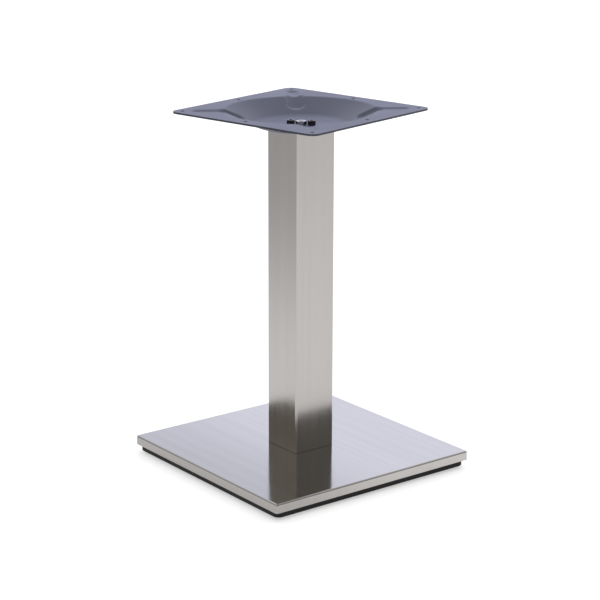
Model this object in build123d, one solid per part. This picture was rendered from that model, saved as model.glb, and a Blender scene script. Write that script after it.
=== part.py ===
from build123d import *
import os
from math import asin, atan2, ceil, cos, hypot, radians, sqrt, tan

# Square pedestal base for a coffee table, in millimetres, standing on the floor at z = 0.
# The column's axis is the z axis, and the front of the base faces -Y.

# Driving sizes: floor plate
base_side = 400.0            # outside width of the pressed steel cover
cover_skirt = 15.5           # height of the cover's turned-down skirt
cover_sheet = 1.0
cover_corner = 4.0           # upright corners of the cover, outside
cover_bend = 3.0             # bend between top and skirt, outside
ground_gap = 4.0             # from the floor to the underside of the casting
casting_drop = 10.5          # how far the casting shows below the skirt
casting_inset = 4.0          # how far the casting's edge stands back from the skirt

# Driving sizes: ribbed casting under the cover
casting_corner = 12.0
casting_edge = 1.5           # chamfer along the casting's lower edge
casting_skin = 7.0
casting_rim = 10.0
rib_thickness = 6.0
pocket_limit = 57.0          # the widest pocket between two ribs
pocket_corner = 6.0          # the pockets' upright corners are cut off this far from each side
pocket_draft = 3.0           # degrees
centre_boss_wall = 9.0
centre_boss_lift = 1.0       # the centre boss stays this far above the casting's underside
nut_recess_clearance = 4.0   # around the washer, for a socket spanner
nut_seat_thickness = 10.0

# Driving sizes: column
column_side = 78.0
column_wall = 1.5
column_corner = 3.0          # outside corner radius of the square tube
end_plate_thickness = 6.0
end_plate_corner = 3.0

# Driving sizes: pressed top plate
total_height = 600.0
top_side = 300.0
top_sheet = 3.0
top_corner = 15.0
top_turn = 12.5              # degrees that the top plate is turned on the column
dish_rim = 23.0              # flat rim between the plate's edge and the lip of the dish
dish_depth = 25.0
dish_seat_margin = 1.5       # flat floor outside the column's corners
dish_floor_bend = 50.0       # inside radius between floor and wall, less where the wall is too short for it
dish_lip_bend = 12.0         # radius over the lip
dish_wall_straight = 20.0    # straight wall that is left at least between the two bends
channel_hole_margin = 14.0   # from the end of a diagonal channel to the centre of the corner hole
channel_foot_run = 42.0      # how far inside the lip each channel ends, down on the dish's wall
channel_width = 22.0
channel_depth = 3.0
channel_edge_bend = 8.0      # radius over the channel's edges on the dish's wall
screw_hole = 6.5
screw_hole_inset = 15.0      # from the plate's edges to the hole centres

# Driving sizes: fastenings
rod_diameter = 10.0
rod_hole = 11.0
rod_proud = 1.0              # rod beyond each nut
rod_chamfer = 0.8
nut_flats = 16.0
thin_nut_height = 5.0
full_nut_height = 8.4
nut_chamfer = 0.8
thin_washer = (18.0, 1.6)    # outside diameter, thickness
wide_washer = (24.0, 2.0)
washer_bore_clearance = 0.25 # radial, around the rod
cap_screw_diameter = 8.0
cap_screw_length = 16.0
cap_head = (13.0, 8.0)       # diameter, height
cap_head_chamfer = 0.8
cap_socket = (6.0, 4.0)      # across flats, depth
cap_screw_hole = 9.0
cap_screw_spacing = 34.0
cap_screw_turn = 45.0        # degrees, along the column's left to right diagonal
thread_clearance = 0.05      # radial, between a screw and the thread that holds it

# Driving sizes: levelling feet
foot_diameter = 32.0
foot_top_diameter = 25.0
foot_height = 8.0
foot_base_edge = 2.5         # upright edge of the foot's pad
foot_edge = 1.0              # chamfer around the pad's underside
foot_seat_gap = 0.3          # between the foot and its boss when screwed home
foot_stud_diameter = 8.0
foot_stud_chamfer = 1.0
foot_collar_flats = 13.0
foot_collar_height = 4.0
foot_boss_diameter = 30.0
foot_hole_spare = 2.0        # thread beyond the end of the stud
foot_hole_cover = 3.0        # iron left above the blind hole

# Levels and places worked out from the sizes
skirt_bottom = ground_gap + casting_drop
base_top = skirt_bottom + cover_skirt
casting_top = base_top - cover_sheet
casting_side = base_side - 2 * casting_inset
column_top = total_height - dish_depth - top_sheet
column_inside = column_side - 2 * column_wall
dish_floor = total_height - dish_depth
dish_radius = top_side / 2 - dish_rim
dish_seat = column_side / sqrt(2) + dish_seat_margin
dish_span = dish_radius - dish_seat
dish_bends_limit = (dish_span ** 2 + dish_depth ** 2 - dish_wall_straight ** 2) / (2 * dish_depth)
dish_foot_bend = min(dish_floor_bend, dish_bends_limit - dish_lip_bend)
dish_bends = dish_foot_bend + dish_lip_bend
dish_run = hypot(dish_span, dish_depth - dish_bends)
dish_slope = atan2(dish_depth - dish_bends, dish_span) + asin(dish_bends / dish_run)
screw_hole_offset = top_side / 2 - screw_hole_inset
channel_end = screw_hole_offset * sqrt(2) - channel_hole_margin
foot_seat = foot_height + foot_seat_gap
nut_seat = casting_top - nut_seat_thickness
pockets_span = casting_side - 2 * casting_rim + rib_thickness
pockets_across = ceil(pockets_span / (pocket_limit + rib_thickness))
pocket_pitch = pockets_span / pockets_across
pocket_side = pocket_pitch - rib_thickness
foot_offset = pocket_pitch * (pockets_across - 1) / 2
foot_hole_top = casting_top - foot_hole_cover
lower_nut_bottom = nut_seat - wide_washer[1] - full_nut_height
upper_nut_bottom = dish_floor + thin_washer[1]
cap_screw_turns = (cap_screw_turn + 180, cap_screw_turn)
cap_screw_places = [Rot(0, 0, turn) * Pos(cap_screw_spacing / 2, 0, 0) for turn in cap_screw_turns]
foot_places = {
    "front_left": (-foot_offset, -foot_offset),
    "front_right": (foot_offset, -foot_offset),
    "back_right": (foot_offset, foot_offset),
    "back_left": (-foot_offset, foot_offset),
}


def rounded_block(side, corner, bottom, top):
    """A square block on the axis with rounded upright corners."""
    return extrude(Pos(0, 0, bottom) * RectangleRounded(side, side, corner), top - bottom)


def disc(diameter, bottom, top):
    """An upright cylinder on the axis."""
    return Pos(0, 0, bottom) * extrude(Circle(diameter / 2), top - bottom)


# Pressed steel cover: one sheet with its four sides drawn down
def make_base_cover():
    outside = rounded_block(base_side, cover_corner, skirt_bottom, base_top)
    outside = fillet(outside.faces().sort_by(Axis.Z)[-1].edges(), cover_bend)
    inside_side = base_side - 2 * cover_sheet
    inside = rounded_block(inside_side, cover_corner - cover_sheet, skirt_bottom, casting_top)
    inside = fillet(inside.faces().sort_by(Axis.Z)[-1].edges(), cover_bend - cover_sheet)
    return outside - inside - disc(rod_hole, casting_top, base_top)


# Iron casting: a skin with a rim, a grid of ribs, a centre boss and four foot bosses
def make_ballast_plate():
    casting = rounded_block(casting_side, casting_corner, ground_gap, casting_top)
    casting = chamfer(casting.faces().sort_by(Axis.Z)[0].edges(), casting_edge)
    skin_bottom = casting_top - casting_skin
    mouth = Rectangle(pocket_side, pocket_side)
    mouth = chamfer(mouth.vertices(), pocket_corner)
    pocket = Pos(0, 0, ground_gap) * extrude(mouth, skin_bottom - ground_gap, taper=pocket_draft)
    grid = GridLocations(pocket_pitch, pocket_pitch, pockets_across, pockets_across)
    casting -= [place * pocket for place in grid]
    recess = wide_washer[0] + 2 * nut_recess_clearance
    casting += disc(recess + 2 * centre_boss_wall, ground_gap + centre_boss_lift, skin_bottom)
    casting -= disc(recess, ground_gap, nut_seat)
    casting -= disc(rod_hole, nut_seat, casting_top)
    boss = disc(foot_boss_diameter, foot_seat, skin_bottom)
    hole = disc(foot_stud_diameter + 2 * thread_clearance, foot_seat, foot_hole_top)
    casting += [Pos(x, y, 0) * boss for x, y in foot_places.values()]
    casting -= [Pos(x, y, 0) * hole for x, y in foot_places.values()]
    return casting


# Square stainless tube, cut square at both ends
def make_column():
    outside = rounded_block(column_side, column_corner, base_top, column_top)
    return outside - rounded_block(column_inside, column_corner - column_wall, base_top, column_top)


# Square plates welded inside the ends of the tube
def make_end_plate(bottom):
    plate = rounded_block(column_inside, end_plate_corner, bottom, bottom + end_plate_thickness)
    return plate - disc(rod_hole, bottom, bottom + end_plate_thickness)


def make_head_plate():
    bottom = column_top - end_plate_thickness
    thread = disc(cap_screw_diameter + 2 * thread_clearance, bottom, column_top)
    return make_end_plate(bottom) - [place * thread for place in cap_screw_places]


# Top plate: a flat sheet with a round dish and four diagonal channels pressed into it
def channel_form(offset):
    """One round-bottomed channel: level across the sheet, then down beside the wall of the dish."""
    bottom_radius = (channel_width ** 2 / 4 + channel_depth ** 2) / (2 * channel_depth)
    level = bottom_radius - channel_depth
    outer = channel_end - channel_width / 2
    inner = dish_radius - channel_foot_run + channel_width / 2
    knee = dish_radius + (bottom_radius - dish_lip_bend) * tan(dish_slope / 2)
    inner_level = level - (knee - inner) * tan(dish_slope)
    corners = ((outer, level), (knee, level), (inner, inner_level))
    axis = Plane.XZ * FilletPolyline(*corners, radius=bottom_radius + dish_lip_bend)
    section = Plane(origin=(outer, 0, level), z_dir=(-1, 0, 0)) * Circle(bottom_radius + offset)
    ball = Sphere(bottom_radius + offset)
    return sweep(section, axis) + Pos(outer, 0, level) * ball + Pos(inner, 0, inner_level) * ball


def pressing(offset):
    """The hollow above the pressed sheet or, offset by the sheet's thickness, its underside's form."""
    mouth = dish_radius + (offset - dish_lip_bend) * tan(dish_slope / 2)
    floor = dish_seat + (offset + dish_foot_bend) * tan(dish_slope / 2)
    dish = Pos(0, 0, -offset - dish_depth / 2) * Cone(floor, mouth, dish_depth)
    dish = fillet(dish.edges().sort_by(Axis.Z)[0], dish_foot_bend + offset)
    channel = channel_form(offset)
    form = dish + [Rot(0, 0, turn) * channel for turn in (45, 135, 225, 315)]
    below = extrude(Pos(0, 0, -offset) * Rectangle(top_side, top_side), -2 * dish_depth)
    form = form & below
    walls = form.faces().filter_by(GeomType.CONE)
    channel_edges = [edge for edge in walls.edges() if edge.geom_type == GeomType.BSPLINE]
    return fillet(channel_edges, channel_edge_bend - offset)


def lip_edges(plate, level):
    """The closed run of edges around the pressing, on the face of the sheet at this level."""
    on_level = 0.001
    reach = channel_end + top_sheet
    flat = [edge for edge in plate.edges() if all(abs(end.Z - level) < on_level for end in edge.vertices())]
    return [edge for edge in flat if all(hypot(end.X, end.Y) < reach for end in edge.vertices())]


def make_top_plate():
    sheet = extrude(RectangleRounded(top_side, top_side, top_corner), -top_sheet)
    plate = sheet + pressing(top_sheet) - pressing(0)
    plate = fillet(lip_edges(plate, 0), dish_lip_bend)
    plate = fillet(lip_edges(plate, -top_sheet), dish_lip_bend - top_sheet)
    drill = disc(screw_hole, -top_sheet, 0)
    steps = (-screw_hole_offset, 0, screw_hole_offset)
    plate -= [Pos(x, y, 0) * drill for x in steps for y in steps if x or y]
    plate = Pos(0, 0, total_height) * Rot(0, 0, top_turn) * plate
    plate -= disc(rod_hole, column_top, dish_floor)
    return plate - [place * disc(cap_screw_hole, column_top, dish_floor) for place in cap_screw_places]


# Tie rod, with a nut and washer at each end, that clamps the whole base together
def hexagon(flats, bottom, top):
    """An upright hexagonal prism on the axis."""
    outline = RegularPolygon(flats / 2, 6, major_radius=False)
    return Pos(0, 0, bottom) * extrude(outline, top - bottom)


def make_nut(bottom, height):
    corners = nut_flats / cos(radians(30))
    turned = disc(corners, bottom, bottom + height)
    turned = chamfer(turned.edges().filter_by(GeomType.CIRCLE), nut_chamfer / 2, nut_chamfer)
    nut = Rot(0, 0, cap_screw_turn) * hexagon(nut_flats, bottom, bottom + height)
    return nut & turned - disc(rod_diameter + 2 * thread_clearance, bottom, bottom + height)


def make_washer(bottom, washer):
    outside, thickness = washer
    bore = rod_diameter + 2 * washer_bore_clearance
    return disc(outside, bottom, bottom + thickness) - disc(bore, bottom, bottom + thickness)


def make_tie_rod():
    rod_top = upper_nut_bottom + thin_nut_height + rod_proud
    rod = disc(rod_diameter, lower_nut_bottom - rod_proud, rod_top)
    return chamfer(rod.edges().filter_by(GeomType.CIRCLE), rod_chamfer)


# Socket cap screws through the floor of the dish into the column's head plate
def make_cap_screw(place):
    diameter, height = cap_head
    head = disc(diameter, dish_floor, dish_floor + height)
    head = chamfer(head.edges().sort_by(Axis.Z)[-1], cap_head_chamfer)
    flats, depth = cap_socket
    head -= hexagon(flats, dish_floor + height - depth, dish_floor + height)
    shank = disc(cap_screw_diameter, dish_floor - cap_screw_length, dish_floor)
    shank = chamfer(shank.edges().sort_by(Axis.Z)[0], rod_chamfer)
    return place * (head + shank)


# Levelling feet: a steel stud with a hexagonal collar, moulded into a plastic pad
def make_foot_stud(place):
    stud_top = foot_hole_top - foot_hole_spare
    stud = disc(foot_stud_diameter, foot_height, stud_top)
    stud = chamfer(stud.edges().sort_by(Axis.Z)[-1], foot_stud_chamfer)
    return place * (stud + hexagon(foot_collar_flats, foot_height - foot_collar_height, foot_height))


def make_foot_pad(place):
    pad = disc(foot_diameter, 0, foot_base_edge)
    taper_height = foot_height - foot_base_edge
    middle = Pos(0, 0, foot_base_edge + taper_height / 2)
    pad += middle * Cone(foot_diameter / 2, foot_top_diameter / 2, taper_height)
    pad = chamfer(pad.edges().sort_by(Axis.Z)[0], foot_edge)
    return place * (pad - hexagon(foot_collar_flats, foot_height - foot_collar_height, foot_height))


parts = {
    "base_cover": make_base_cover(),
    "ballast_plate": make_ballast_plate(),
    "column": make_column(),
    "column_foot_plate": make_end_plate(base_top),
    "column_head_plate": make_head_plate(),
    "top_plate": make_top_plate(),
    "tie_rod": make_tie_rod(),
    "lower_nut": make_nut(lower_nut_bottom, full_nut_height),
    "lower_washer": make_washer(nut_seat - wide_washer[1], wide_washer),
    "upper_nut": make_nut(upper_nut_bottom, thin_nut_height),
    "upper_washer": make_washer(dish_floor, thin_washer),
    "cap_screw_left": make_cap_screw(cap_screw_places[0]),
    "cap_screw_right": make_cap_screw(cap_screw_places[1]),
}
for corner, (x, y) in foot_places.items():
    parts["foot_pad_" + corner] = make_foot_pad(Pos(x, y, 0))
    parts["foot_stud_" + corner] = make_foot_stud(Pos(x, y, 0))

os.makedirs("parts", exist_ok=True)
for name, solid in parts.items():
    export_step(solid, "parts/" + name + ".step")
    print(name, round(solid.volume), "mm3", len(solid.faces()), "faces")
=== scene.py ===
import math

import bmesh
import bpy
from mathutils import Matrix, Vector


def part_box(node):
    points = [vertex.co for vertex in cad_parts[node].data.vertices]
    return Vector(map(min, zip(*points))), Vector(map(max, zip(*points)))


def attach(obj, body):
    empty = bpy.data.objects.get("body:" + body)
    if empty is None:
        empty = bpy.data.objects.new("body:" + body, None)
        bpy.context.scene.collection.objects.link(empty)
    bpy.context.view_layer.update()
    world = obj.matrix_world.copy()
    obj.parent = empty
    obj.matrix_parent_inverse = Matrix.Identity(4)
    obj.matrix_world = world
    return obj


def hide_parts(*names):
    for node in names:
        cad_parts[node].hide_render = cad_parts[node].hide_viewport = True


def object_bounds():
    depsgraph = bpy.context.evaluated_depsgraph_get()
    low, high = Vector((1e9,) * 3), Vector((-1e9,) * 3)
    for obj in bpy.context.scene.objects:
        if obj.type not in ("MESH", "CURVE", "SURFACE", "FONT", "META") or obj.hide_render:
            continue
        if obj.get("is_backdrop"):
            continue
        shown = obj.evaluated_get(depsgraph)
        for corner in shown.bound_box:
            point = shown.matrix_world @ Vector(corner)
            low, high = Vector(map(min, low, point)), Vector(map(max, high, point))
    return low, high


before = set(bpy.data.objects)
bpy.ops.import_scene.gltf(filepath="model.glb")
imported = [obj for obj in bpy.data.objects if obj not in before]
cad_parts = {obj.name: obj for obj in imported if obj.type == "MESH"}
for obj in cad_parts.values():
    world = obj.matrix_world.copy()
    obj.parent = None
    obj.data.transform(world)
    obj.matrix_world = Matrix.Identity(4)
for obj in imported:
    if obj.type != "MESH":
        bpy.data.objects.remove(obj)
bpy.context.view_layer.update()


# Camera: at the photograph's place and angle, looking a little down at the base's near corner. The lens is long,
# so the column's upright edges stay nearly parallel.
camera_azimuth = math.radians(52.416)
camera_elevation = math.radians(15.969)
camera_roll = math.radians(0.146)
camera_distance = 3.2475
aim_height = 0.2809
aim_sideways = -0.0011
focal_pixels = 1962.4
frame_pixels = 600.0
sensor = 36.0                # millimetres
sight = 200.0                # how far the camera sees, in metres
across = Vector((math.cos(camera_azimuth), math.sin(camera_azimuth), 0))
behind = Vector((-math.sin(camera_azimuth), math.cos(camera_azimuth), 0))
back = Vector((0, 0, math.sin(camera_elevation))) - behind * math.cos(camera_elevation)
camera_data = bpy.data.cameras.new("camera")
camera_data.sensor_width = sensor
camera_data.lens = focal_pixels / frame_pixels * sensor
camera_data.clip_end = sight
camera = bpy.data.objects.new("camera", camera_data)
bpy.context.collection.objects.link(camera)
camera.location = Vector((0, 0, aim_height)) + across * aim_sideways + back * camera_distance
camera.rotation_euler = (-back).to_track_quat("-Z", "Y").to_euler()
camera.rotation_euler.rotate_axis("Z", camera_roll)
bpy.context.scene.camera = camera


# Ballast casting: the weight of the base, grey iron cast in sand with ribs and bosses underneath, and sprayed
# black. The cover sits over it, and its edge shows below the cover's skirt.
iron_colours = ((0.006, 0.006, 0.0065), (0.016, 0.016, 0.017))
iron_dullness = (0.55, 0.72)
iron_shine = 0.22
sand_grain = 420.0           # grains in a metre
sand_depth = 0.0004
lump_grain = 60.0
lump_depth = 0.0012


def new_material(name):
    """An empty Principled material, its tree and its shader."""
    material = bpy.data.materials.new(name)
    material.use_nodes = True
    tree = material.node_tree
    return material, tree, tree.nodes["Principled BSDF"]


def noise(tree, grain, detail=3.0):
    """Noise on the piece's own coordinates. Its grain is the features in a metre, for all axes or for each."""
    coords = tree.nodes.new("ShaderNodeTexCoord")
    mapping = tree.nodes.new("ShaderNodeMapping")
    mapping.inputs["Scale"].default_value = grain if isinstance(grain, tuple) else (grain, grain, grain)
    texture = tree.nodes.new("ShaderNodeTexNoise")
    texture.inputs["Scale"].default_value = 1.0
    texture.inputs["Detail"].default_value = detail
    tree.links.new(coords.outputs["Object"], mapping.inputs["Vector"])
    tree.links.new(mapping.outputs["Vector"], texture.inputs["Vector"])
    return texture.outputs["Fac"]


def spread(tree, value, low, high):
    """Maps the usual range of a noise, 0.3 to 0.7, to the range from low to high."""
    node = tree.nodes.new("ShaderNodeMapRange")
    node.inputs["From Min"].default_value = 0.3
    node.inputs["From Max"].default_value = 0.7
    node.inputs["To Min"].default_value = low
    node.inputs["To Max"].default_value = high
    tree.links.new(value, node.inputs["Value"])
    return node.outputs["Result"]


def tint(tree, value, dark, light):
    """Mixes two colours by a value from 0 to 1."""
    node = tree.nodes.new("ShaderNodeMix")
    node.data_type = "RGBA"
    node.inputs[6].default_value = (*dark, 1)
    node.inputs[7].default_value = (*light, 1)
    tree.links.new(value, node.inputs["Factor"])
    return node.outputs[2]


def coloured(tree, shader, texture, colours, dullness):
    """Varies a shader's colour between two colours, and its roughness over a range, by one noise."""
    tree.links.new(tint(tree, spread(tree, texture, 0.0, 1.0), *colours), shader.inputs["Base Color"])
    tree.links.new(spread(tree, texture, *dullness), shader.inputs["Roughness"])


def relief(tree, shader, height, distance, strength=1.0, under=None):
    """Raises a fine relief on the surface, on top of another one where given."""
    node = tree.nodes.new("ShaderNodeBump")
    node.inputs["Strength"].default_value = strength
    node.inputs["Distance"].default_value = distance
    tree.links.new(height, node.inputs["Height"])
    if under:
        tree.links.new(under, node.inputs["Normal"])
    tree.links.new(node.outputs["Normal"], shader.inputs["Normal"])
    return node.outputs["Normal"]


def give(node, material):
    """Gives a CAD node its finish."""
    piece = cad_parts[node]
    piece.data.materials.clear()
    piece.data.materials.append(material)


iron, tree, shader = new_material("black_cast_iron")
skin = noise(tree, sand_grain)
lumps = noise(tree, lump_grain, detail=2.0)
coloured(tree, shader, skin, iron_colours, iron_dullness)
shader.inputs["Specular IOR Level"].default_value = iron_shine
coarse = relief(tree, shader, lumps, lump_depth, strength=0.5)
relief(tree, shader, skin, sand_depth, strength=0.6, under=coarse)
give("ballast_plate", iron)


# Levelling feet: M8 zinc-plated studs, each with a hexagonal collar moulded into a black plastic pad. They screw
# up into the casting's bosses, and the pads have ringed undersides that grip the floor.
zinc_colours = ((0.46, 0.47, 0.49), (0.60, 0.61, 0.63))
zinc_dullness = (0.26, 0.38)
zinc_grain = 350.0
plastic_colours = ((0.010, 0.010, 0.010), (0.018, 0.018, 0.019))
plastic_dullness = (0.42, 0.55)
plastic_grain = 900.0
plastic_depth = 0.0001
stud_thread = 0.004          # radius over the thread's crests
stud_pitch = 0.00125
thread_depth = 0.00068       # half of the thread's height
thread_start = 0.0004        # above the pad
thread_stop = 0.0010         # below the stud's end
stud_tip = 0.0002            # chamfer on the stud's end
collar = 0.013               # across the flats of the stud's collar
collar_depth = 0.004         # how far the collar reaches down into the pad
collar_foot = 0.0003         # chamfers around the collar, below and above
collar_head = 0.0004
pad_rings = ((0.0056, 0.0074), (0.0088, 0.0108), (0.0122, 0.0145))    # wide grooves, from and to radius
pad_groove = 0.0008          # depth of the grooves
groove_slope = 0.0003
narrow_groove = (0.0009, 0.0007)     # its deepest point and its end, inwards from the wide groove that follows
pad_side = ((0.0008, 0), (0.0002, 0.0003), (0, 0.0010), (0, 0.0022), (0.0004, 0.0029))   # inwards and up
pad_shoulder = ((0.0028, 0.0008), (0.0034, 0.0002), (0.0041, 0))      # inwards, and down from the pad's top

zinc, tree, shader = new_material("bright_zinc_plate")
coloured(tree, shader, noise(tree, zinc_grain), zinc_colours, zinc_dullness)
shader.inputs["Metallic"].default_value = 1.0

plastic, tree, shader = new_material("black_foot_plastic")
mould = noise(tree, plastic_grain, detail=2.0)
coloured(tree, shader, mould, plastic_colours, plastic_dullness)
relief(tree, shader, mould, plastic_depth)


def turned(name, rings, place, material, sides=96):
    """A closed turned shape, from axis to axis. A ring is (radius, height) or (across flats, height, 6)."""
    mesh = bpy.data.meshes.new(name)
    work = bmesh.new()
    loops = []
    for ring in rings:
        if ring[0] == 0:
            loops.append([work.verts.new((place[0], place[1], ring[1]))])
            continue
        loop = []
        for step in range(sides):
            angle = 2 * math.pi * step / sides
            radius = ring[0]
            if len(ring) == 3:
                sector = 2 * math.pi / ring[2]
                radius = ring[0] / 2 / math.cos((angle + sector / 2) % sector - sector / 2)
            spot = (place[0] + radius * math.cos(angle), place[1] + radius * math.sin(angle), ring[1])
            loop.append(work.verts.new(spot))
        loops.append(loop)
    for first, second in zip(loops, loops[1:]):
        for step in range(sides):
            corners = [first[step % len(first)], first[(step + 1) % len(first)],
                       second[(step + 1) % len(second)], second[step % len(second)]]
            work.faces.new(list(dict.fromkeys(corners)))
    bmesh.ops.recalc_face_normals(work, faces=work.faces)
    work.to_mesh(mesh)
    work.free()
    mesh.materials.append(material)
    mesh.set_sharp_from_angle(angle=math.radians(30))
    piece = bpy.data.objects.new(name, mesh)
    bpy.context.collection.objects.link(piece)
    return piece


def add_input(tree, name, value, kind="NodeSocketFloat"):
    """A named input on a geometry tree."""
    socket = tree.interface.new_socket(name=name, in_out="INPUT", socket_type=kind)
    if value is not None:
        socket.default_value = value
    return socket


def node_of(tree, kind, inputs=(), **settings):
    """A node with its settings, and with its inputs linked or set."""
    node = tree.nodes.new(kind)
    for key, value in settings.items():
        setattr(node, key, value)
    for key, value in dict(inputs).items():
        if isinstance(value, bpy.types.NodeSocket):
            tree.links.new(value, node.inputs[key])
        else:
            node.inputs[key].default_value = value
    return node


def finished(tree, entry, shape):
    """Ends a geometry tree: the shape is put in its place, made real and given its material."""
    tree.interface.new_socket(name="Mesh", in_out="OUTPUT", socket_type="NodeSocketGeometry")
    placed = node_of(tree, "GeometryNodeTransform",
                     {"Geometry": shape.outputs[0], "Translation": entry.outputs["Place"]})
    real = node_of(tree, "GeometryNodeRealizeInstances", {"Geometry": placed.outputs[0]})
    finish = node_of(tree, "GeometryNodeSetMaterial",
                     {"Geometry": real.outputs[0], "Material": entry.outputs["Finish"]})
    leave = tree.nodes.new("NodeGroupOutput")
    tree.links.new(finish.outputs[0], leave.inputs[0])


# The thread tree winds a V-shaped ridge around the axis, upwards from its place.
thread = bpy.data.node_groups.new("screw_thread", "GeometryNodeTree")
thread_inputs = {
    "Radius": add_input(thread, "Radius", stud_thread),
    "Depth": add_input(thread, "Depth", thread_depth),
    "Length": add_input(thread, "Length", stud_pitch),
    "Turns": add_input(thread, "Turns", 1.0),
    "Place": add_input(thread, "Place", None, "NodeSocketVector"),
    "Finish": add_input(thread, "Finish", None, "NodeSocketMaterial"),
}
entry = thread.nodes.new("NodeGroupInput")
middle = node_of(thread, "ShaderNodeMath", {0: entry.outputs["Radius"], 1: entry.outputs["Depth"]},
                 operation="SUBTRACT")
wind = node_of(thread, "GeometryNodeCurveSpiral", {
    "Resolution": 32, "Rotations": entry.outputs["Turns"], "Start Radius": middle.outputs[0],
    "End Radius": middle.outputs[0], "Height": entry.outputs["Length"]})
upright = node_of(thread, "GeometryNodeSetCurveNormal", {"Curve": wind.outputs[0]})
upright.mode = "Z_UP"
ridge = node_of(thread, "GeometryNodeCurvePrimitiveCircle", {"Resolution": 4, "Radius": entry.outputs["Depth"]})
swept = node_of(thread, "GeometryNodeCurveToMesh", {
    "Curve": upright.outputs[0], "Profile Curve": ridge.outputs[0], "Fill Caps": True})
finished(thread, entry, swept)


def made_by(tree, sockets, values, name):
    """Runs a geometry tree with these values and keeps the result as a plain mesh."""
    seed = bpy.data.objects.new(name + "_seed", bpy.data.meshes.new(name + "_seed"))
    bpy.context.collection.objects.link(seed)
    modifier = seed.modifiers.new("tree", "NODES")
    modifier.node_group = tree
    for key, value in values.items():
        modifier[sockets[key].identifier] = value
    ready = seed.evaluated_get(bpy.context.evaluated_depsgraph_get())
    mesh = bpy.data.meshes.new_from_object(ready)
    seed.modifiers.remove(modifier)
    bpy.data.objects.remove(seed)
    mesh.name = name
    return mesh


def join_into(piece, mesh):
    """Adds a mesh to a piece that has the same material."""
    work = bmesh.new()
    work.from_mesh(piece.data)
    work.from_mesh(mesh)
    work.to_mesh(piece.data)
    work.free()
    bpy.data.meshes.remove(mesh)


def threaded(piece, radius, depth, pitch, low, high, place, material):
    """Winds a thread around a piece between two heights."""
    length = high - low
    values = {"Radius": radius, "Depth": depth, "Length": length, "Turns": length / pitch,
              "Place": (place[0], place[1], low), "Finish": material}
    join_into(piece, made_by(thread, thread_inputs, values, piece.name + "_thread"))


for corner in ("front_left", "front_right", "back_right", "back_left"):
    low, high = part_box("foot_pad_" + corner)
    place = ((low[0] + high[0]) / 2, (low[1] + high[1]) / 2)
    edge = (high[0] - low[0]) / 2
    top = high[2]
    rings = [(0, 0)]
    for inner, outer in pad_rings:
        if len(rings) > 1:
            rings += [(inner - narrow_groove[0], pad_groove), (inner - narrow_groove[1], 0)]
        rings += [(inner, 0), (inner + groove_slope, pad_groove), (outer - groove_slope, pad_groove), (outer, 0)]
    rings += [(edge - inwards, up) for inwards, up in pad_side]
    rings += [(edge - inwards, top - down) for inwards, down in pad_shoulder]
    rings += [(collar + collar_foot, top, 6), (collar, top - collar_foot, 6)]
    rings += [(collar, top - collar_depth, 6), (0, top - collar_depth)]
    pad = turned("pad_" + corner, rings, place, plastic)
    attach(pad, "foot_" + corner)
    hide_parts("foot_pad_" + corner)

    low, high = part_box("foot_stud_" + corner)
    core = stud_thread - 2 * thread_depth
    rings = [(0, low[2]), (collar - 2 * collar_foot, low[2], 6), (collar, low[2] + collar_foot, 6)]
    rings += [(collar, top - collar_head, 6), (collar - 2 * collar_head, top, 6), (core, top)]
    rings += [(core, high[2] - stud_tip), (core - 2 * stud_tip, high[2]), (0, high[2])]
    stud = turned("stud_" + corner, rings, place, zinc)
    threaded(stud, stud_thread, thread_depth, stud_pitch, top + thread_start, high[2] - thread_stop, place, zinc)
    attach(stud, "foot_" + corner)
    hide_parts("foot_stud_" + corner)


# Column and floor plate cover: brushed stainless steel. The column is square tube polished along its length, and
# the cover is one sheet drawn down over the casting and polished straight across.
tube_colours = ((0.426, 0.406, 0.389), (0.469, 0.447, 0.428))
tube_gloss = 0.18
tube_waves = 0.0008          # how far the sheet is out of flat
cover_colours = ((0.440, 0.424, 0.409), (0.498, 0.480, 0.463))
cover_gloss = 0.10
cover_waves = 0.0016
wave_grain = 4.0
grain_across = 900.0         # polishing lines in a metre, across their direction
grain_along = 5.0
grain_depth = 0.00002
tube_streaks = (90.0, 90.0, 1.5)
cover_streaks = (1.5, 70.0, 70.0)
tube_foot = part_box("column")[0][2]
tube_foot_shade_line = ("Z", tube_foot + 0.0004, tube_foot + 0.0014, 0.62)   # painted shade: a thin dark line where it meets the cover
cover_side_shade = ("Y", -0.21, 0.06, 0.74)      # painted shade, darker towards -Y: the axis, from and to where, and what is left of the colour at first


def sum_of(tree, first, second):
    """Adds two values."""
    node = tree.nodes.new("ShaderNodeMath")
    node.operation = "ADD"
    tree.links.new(first, node.inputs[0])
    tree.links.new(second, node.inputs[1])
    return node.outputs["Value"]


def part_of(tree, output, axis):
    """One axis of the piece's own coordinates ("Object"), or of the way its surface faces ("Normal")."""
    split = tree.nodes.new("ShaderNodeSeparateXYZ")
    tree.links.new(tree.nodes.new("ShaderNodeTexCoord").outputs[output], split.inputs["Vector"])
    return split.outputs[axis]


def shaded(tree, colour, value, start, end, low):
    """Darkens a colour smoothly as a value goes from end down to start, as painted shade."""
    fade = tree.nodes.new("ShaderNodeMapRange")
    fade.interpolation_type = "SMOOTHSTEP"
    fade.inputs["From Min"].default_value = start
    fade.inputs["From Max"].default_value = end
    fade.inputs["To Min"].default_value = low
    tree.links.new(value, fade.inputs["Value"])
    scale = tree.nodes.new("ShaderNodeVectorMath")
    scale.operation = "SCALE"
    tree.links.new(colour, scale.inputs[0])
    tree.links.new(fade.outputs["Result"], scale.inputs["Scale"])
    return scale.outputs["Vector"]


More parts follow.
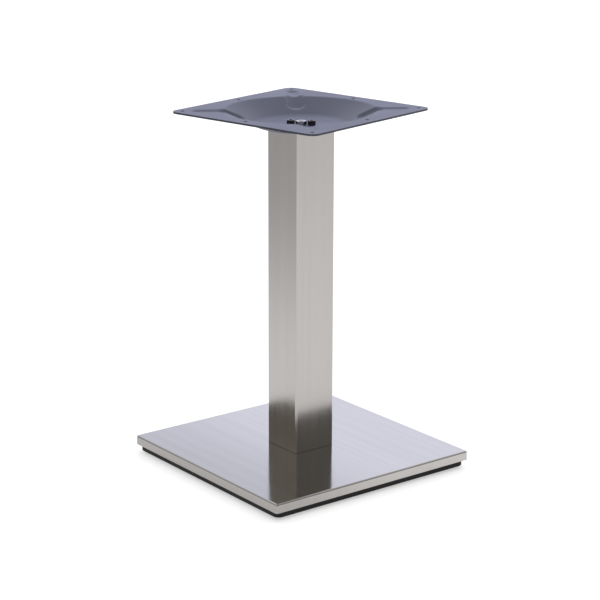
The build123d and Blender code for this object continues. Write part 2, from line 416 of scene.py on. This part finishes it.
def brushed_steel(name, colours, fine, streaks, gloss, waves, painted_shade):
    """Polished stainless with a fine straight grain, faint streaks and slight waves, and painted shade towards one
    side.
    """
    material, tree, shader = new_material(name)
    grain = noise(tree, fine, detail=4.0)
    streak = noise(tree, streaks, detail=2.0)
    both = sum_of(tree, spread(tree, grain, 0.0, 0.6), spread(tree, streak, 0.0, 0.4))
    # painted shade: the colour darkens along one of the piece's own axes
    colour = shaded(tree, tint(tree, both, *colours), part_of(tree, "Object", painted_shade[0]), *painted_shade[1:])
    tree.links.new(colour, shader.inputs["Base Color"])
    dullness = sum_of(tree, spread(tree, grain, gloss - 0.03, gloss + 0.03), spread(tree, streak, -0.01, 0.01))
    tree.links.new(dullness, shader.inputs["Roughness"])
    shader.inputs["Metallic"].default_value = 1.0
    sheet = relief(tree, shader, noise(tree, wave_grain, detail=1.0), waves)
    relief(tree, shader, grain, grain_depth, under=sheet)
    return material


tube_steel = brushed_steel("stainless_upright_grain", tube_colours, (grain_across, grain_across, grain_along),
                           tube_streaks, tube_gloss, tube_waves, tube_foot_shade_line)
cover_steel = brushed_steel("stainless_cover_grain", cover_colours, (grain_along, grain_across, grain_across),
                            cover_streaks, cover_gloss, cover_waves, cover_side_shade)
give("column", tube_steel)
give("base_cover", cover_steel)


# End plates: two squares of plain mild steel, welded in the ends of the tube. The tie rod clamps on them, and they
# are hidden once the base is together.
mill_colours = ((0.28, 0.28, 0.29), (0.42, 0.42, 0.43))
mill_dullness = (0.30, 0.45)
mill_grain = 60.0
plain, tree, shader = new_material("plain_steel_plate")
coloured(tree, shader, noise(tree, mill_grain, detail=4.0), mill_colours, mill_dullness)
shader.inputs["Metallic"].default_value = 1.0
give("column_foot_plate", plain)
give("column_head_plate", plain)


# Top plate: 3 mm steel sheet with a dish and four channels pressed into it, finished in satin powder coat. Its
# colour is darkened with painted shade on the pressed slopes, and more on the cut edges and in the holes.
coat_colours = ((0.065, 0.070, 0.117), (0.075, 0.080, 0.133))
coat_dullness = (0.46, 0.54)
coat_shine = 0.52
coat_slope_shade = (0.90, 0.985, 0.70)    # painted shade on slopes: how level the surface is, from and to, and the colour left at first
# painted shade on the upright cut edges and hole walls, by the same measure
coat_edge_shade = (0.30, 0.80, 0.50)
peel_grain = 650.0
peel_depth = 0.00004
cloud_grain = 9.0
coat, tree, shader = new_material("satin_powder_coat")
peel = noise(tree, peel_grain, detail=2.0)
level = tree.nodes.new("ShaderNodeMath")
level.operation = "ABSOLUTE"
tree.links.new(part_of(tree, "Normal", "Z"), level.inputs[0])
colour = tint(tree, spread(tree, peel, 0.0, 1.0), *coat_colours)
# painted shade: the colour is darkened where the surface slopes or stands upright
for facing_shade in (coat_slope_shade, coat_edge_shade):
    colour = shaded(tree, colour, level.outputs["Value"], *facing_shade)
tree.links.new(colour, shader.inputs["Base Color"])
tree.links.new(spread(tree, noise(tree, cloud_grain, detail=2.0), *coat_dullness), shader.inputs["Roughness"])
shader.inputs["Specular IOR Level"].default_value = coat_shine
relief(tree, shader, peel, peel_depth)
give("top_plate", coat)


# Tie rod: M10, bright zinc-plated, threaded at both ends. It runs up the middle of the column and clamps the
# casting, cover, column and top plate together between its two nuts and washers.
rod_thread = 0.005           # radius over the thread's crests
rod_pitch = 0.0015
rod_depth = 0.00082          # half of the thread's height
rod_threaded = 0.040         # threaded length at each end
rod_runout = 0.001           # slope from the thread's core to the plain shank
rod_tip = 0.0006             # chamfer at each end
low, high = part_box("tie_rod")
core = rod_thread - 2 * rod_depth
rings = [(0, low[2]), (core - rod_tip, low[2]), (core, low[2] + rod_tip), (core, low[2] + rod_threaded)]
rings += [(rod_thread, low[2] + rod_threaded + rod_runout), (rod_thread, high[2] - rod_threaded - rod_runout)]
rings += [(core, high[2] - rod_threaded), (core, high[2] - rod_tip), (core - rod_tip, high[2]), (0, high[2])]
rod = turned("tie_rod_threaded", rings, (0, 0), zinc)
threaded(rod, rod_thread, rod_depth, rod_pitch, low[2] + rod_depth, low[2] + rod_threaded, (0, 0), zinc)
threaded(rod, rod_thread, rod_depth, rod_pitch, high[2] - rod_threaded, high[2] - rod_depth, (0, 0), zinc)
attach(rod, "base")
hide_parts("tie_rod")
for node in ("upper_nut", "upper_washer", "lower_nut", "lower_washer"):
    give(node, zinc)


# Socket cap screws: M8, black oxide over steel, with straight-knurled heads. They go down through the floor of the
# dish into the column's head plate.
oxide_colours = ((0.010, 0.010, 0.012), (0.024, 0.024, 0.028))
oxide_dullness = (0.14, 0.22)
oxide_grain = 500.0
head_diameter = 0.013
head_height = 0.008
head_foot = (0.0004, 0.0010, 0.0013)     # above the seat: chamfer, end of the plain band, start of the knurl
head_shoulder = ((0, 0.0012), (0.0002, 0.0008), (0.0007, 0))     # inwards, and down from the head's top
shank = 0.0039               # radius
shank_tip = (0.0030, 0.001)  # radius at the end, and height of the chamfer
socket_flats = 0.006
socket_lead = (0.0007, 0.0005)           # chamfer around the socket, outwards and down
socket_depth = 0.004
drill_point = 0.0008         # cone at the bottom of the socket
knurl_count = 44
knurl_size = 0.00042
black, tree, shader = new_material("black_oxide_steel")
coloured(tree, shader, noise(tree, oxide_grain, detail=2.0), oxide_colours, oxide_dullness)

# The knurl tree stands a ring of square ridges around a head.
knurl = bpy.data.node_groups.new("head_knurl", "GeometryNodeTree")
knurl_inputs = {
    "Count": add_input(knurl, "Count", knurl_count, "NodeSocketInt"),
    "Radius": add_input(knurl, "Radius", head_diameter / 2),
    "Size": add_input(knurl, "Size", knurl_size),
    "Height": add_input(knurl, "Height", head_height),
    "Place": add_input(knurl, "Place", None, "NodeSocketVector"),
    "Finish": add_input(knurl, "Finish", None, "NodeSocketMaterial"),
}
entry = knurl.nodes.new("NodeGroupInput")
spots = node_of(knurl, "GeometryNodeMeshCircle",
                {"Vertices": entry.outputs["Count"], "Radius": entry.outputs["Radius"]})
tooth = node_of(knurl, "GeometryNodeMeshCylinder", {
    "Vertices": 4, "Radius": entry.outputs["Size"], "Depth": entry.outputs["Height"]})
outwards = node_of(knurl, "FunctionNodeAlignEulerToVector",
                   {"Vector": knurl.nodes.new("GeometryNodeInputPosition").outputs[0]}, axis="X")
teeth = node_of(knurl, "GeometryNodeInstanceOnPoints", {
    "Points": spots.outputs[0], "Instance": tooth.outputs[0], "Rotation": outwards.outputs[0]})
finished(knurl, entry, teeth)

for side in ("left", "right"):
    low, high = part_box("cap_screw_" + side)
    place = ((low[0] + high[0]) / 2, (low[1] + high[1]) / 2)
    top = high[2]
    seat = top - head_height
    edge = head_diameter / 2
    barrel = edge - knurl_size
    chamfer, band, start = head_foot
    rings = [(0, low[2]), (shank_tip[0], low[2]), (shank, low[2] + shank_tip[1]), (shank, seat)]
    rings += [(edge - chamfer, seat), (edge, seat + chamfer), (edge, seat + band), (barrel, seat + start)]
    rings += [(barrel - inwards, top - down) for inwards, down in head_shoulder]
    rings += [(socket_flats / 2 + socket_lead[0], top), (socket_flats, top - socket_lead[1], 6)]
    rings += [(socket_flats, top - socket_depth, 6), (0, top - socket_depth - drill_point)]
    screw = turned("cap_screw_knurled_" + side, rings, place, black)
    stop = head_shoulder[0][1]
    values = {"Count": knurl_count, "Radius": barrel, "Size": knurl_size, "Height": head_height - start - stop,
              "Place": (place[0], place[1], (seat + start + top - stop) / 2), "Finish": black}
    join_into(screw, made_by(knurl, knurl_inputs, values, screw.name + "_knurl"))
    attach(screw, "base")
    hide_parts("cap_screw_" + side)


# Floor: a plain pale sheet far wider than the view. It glows softly, so that it shows white and the steel takes
# its light, and it glows less far to the left.
floor_half = 40.0
floor_grey = 0.58
floor_dullness = 0.9
floor_glow = (0.14, 0.50)    # far to the left, and in the view
glow_fall = (-1.9, -0.45)    # where the one starts and the other ends, along this way across the view
glow_way = across + behind * 0.153
floor_mesh = bpy.data.meshes.new("floor")
corners = [(-floor_half, -floor_half, 0), (floor_half, -floor_half, 0), (floor_half, floor_half, 0),
           (-floor_half, floor_half, 0)]
floor_mesh.from_pydata(corners, [], [(0, 1, 2, 3)])
floor = bpy.data.objects.new("floor", floor_mesh)
bpy.context.collection.objects.link(floor)
pale, tree, shader = new_material("pale_floor")
shader.inputs["Base Color"].default_value = (floor_grey, floor_grey, floor_grey, 1)
shader.inputs["Roughness"].default_value = floor_dullness
shader.inputs["Specular IOR Level"].default_value = 0.0
shader.inputs["Emission Color"].default_value = (1, 1, 1, 1)
spot = tree.nodes.new("ShaderNodeVectorMath")
spot.operation = "DOT_PRODUCT"
spot.inputs[1].default_value = glow_way
tree.links.new(tree.nodes.new("ShaderNodeTexCoord").outputs["Object"], spot.inputs[0])
fall = tree.nodes.new("ShaderNodeMapRange")
fall.interpolation_type = "SMOOTHSTEP"
fall.inputs["From Min"].default_value, fall.inputs["From Max"].default_value = glow_fall
fall.inputs["To Min"].default_value, fall.inputs["To Max"].default_value = floor_glow
tree.links.new(spot.outputs["Value"], fall.inputs["Value"])
tree.links.new(fall.outputs["Result"], shader.inputs["Emission Strength"])
floor_mesh.materials.append(pale)
floor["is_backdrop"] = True


# Light: a white backdrop behind, a dim warm room behind the camera with a glow above it, and a long soft lamp over
# the floor. Each part of the room ends softly, between two values of how far a direction points along an axis.
backdrop = (0.94, 0.97, 1.13)
backdrop_edge = (0.35, 0.80)
room_left = (0.254, 0.243, 0.200)
room_right = (0.173, 0.168, 0.162)
room_middle = (-0.2, 0.2)
glow_left = (0.85, 0.84, 0.83)
glow_right = (0.52, 0.50, 0.47)
glow_middle = (-0.45, 0.15)
glow_edge = (0.34, 0.50)
ceiling = (0.48, 0.48, 0.50)
ceiling_edge = (0.70, 0.92)
brightness = 1.25
lamp_size = (2.4, 11.0)
lamp_power = 87.0
lamp_place = behind * 3.4 + across * 0.4 + Vector((0, 0, 2.0))
world = bpy.data.worlds.new("studio")
bpy.context.scene.world = world
world.use_nodes = True
tree = world.node_tree
direction = tree.nodes.new("ShaderNodeTexCoord").outputs["Generated"]
height = tree.nodes.new("ShaderNodeSeparateXYZ")
tree.links.new(direction, height.inputs["Vector"])


def along(axis):
    """How far a light's direction points along this axis."""
    node = tree.nodes.new("ShaderNodeVectorMath")
    node.operation = "DOT_PRODUCT"
    node.inputs[1].default_value = axis
    tree.links.new(direction, node.inputs[0])
    return node.outputs["Value"]


def soft_step(value, start, end):
    """Rises smoothly from 0 to 1 between two values."""
    node = tree.nodes.new("ShaderNodeMapRange")
    node.interpolation_type = "SMOOTHSTEP"
    node.inputs["From Min"].default_value = start
    node.inputs["From Max"].default_value = end
    tree.links.new(value, node.inputs["Value"])
    return node.outputs["Result"]


def blend_of(factor, first, second):
    """Mixes two light colours."""
    node = tree.nodes.new("ShaderNodeMix")
    node.data_type = "RGBA"
    for socket, colour in ((node.inputs[6], first), (node.inputs[7], second)):
        if isinstance(colour, tuple):
            socket.default_value = (*colour, 1)
        else:
            tree.links.new(colour, socket)
    tree.links.new(factor, node.inputs["Factor"])
    return node.outputs[2]


room = blend_of(soft_step(along(across), *room_middle), room_left, room_right)
glow = blend_of(soft_step(along(across), *glow_middle), glow_left, glow_right)
room = blend_of(soft_step(height.outputs["Z"], *glow_edge), room, glow)
walls = blend_of(soft_step(along(behind), *backdrop_edge), room, backdrop)
all_round = blend_of(soft_step(height.outputs["Z"], *ceiling_edge), walls, ceiling)
tree.links.new(all_round, tree.nodes["Background"].inputs["Color"])
tree.nodes["Background"].inputs["Strength"].default_value = brightness

lamp_data = bpy.data.lights.new("floor_lamp", "AREA")
lamp_data.shape = "RECTANGLE"
lamp_data.size, lamp_data.size_y = lamp_size
lamp_data.energy = lamp_power
lamp = bpy.data.objects.new("floor_lamp", lamp_data)
bpy.context.collection.objects.link(lamp)
lamp.location = lamp_place
lamp.rotation_euler = (0, 0, camera_azimuth)
lamp.visible_glossy = False

bpy.context.scene.view_settings.view_transform = "Standard"
bpy.context.scene.view_settings.look = "None"

low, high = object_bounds()
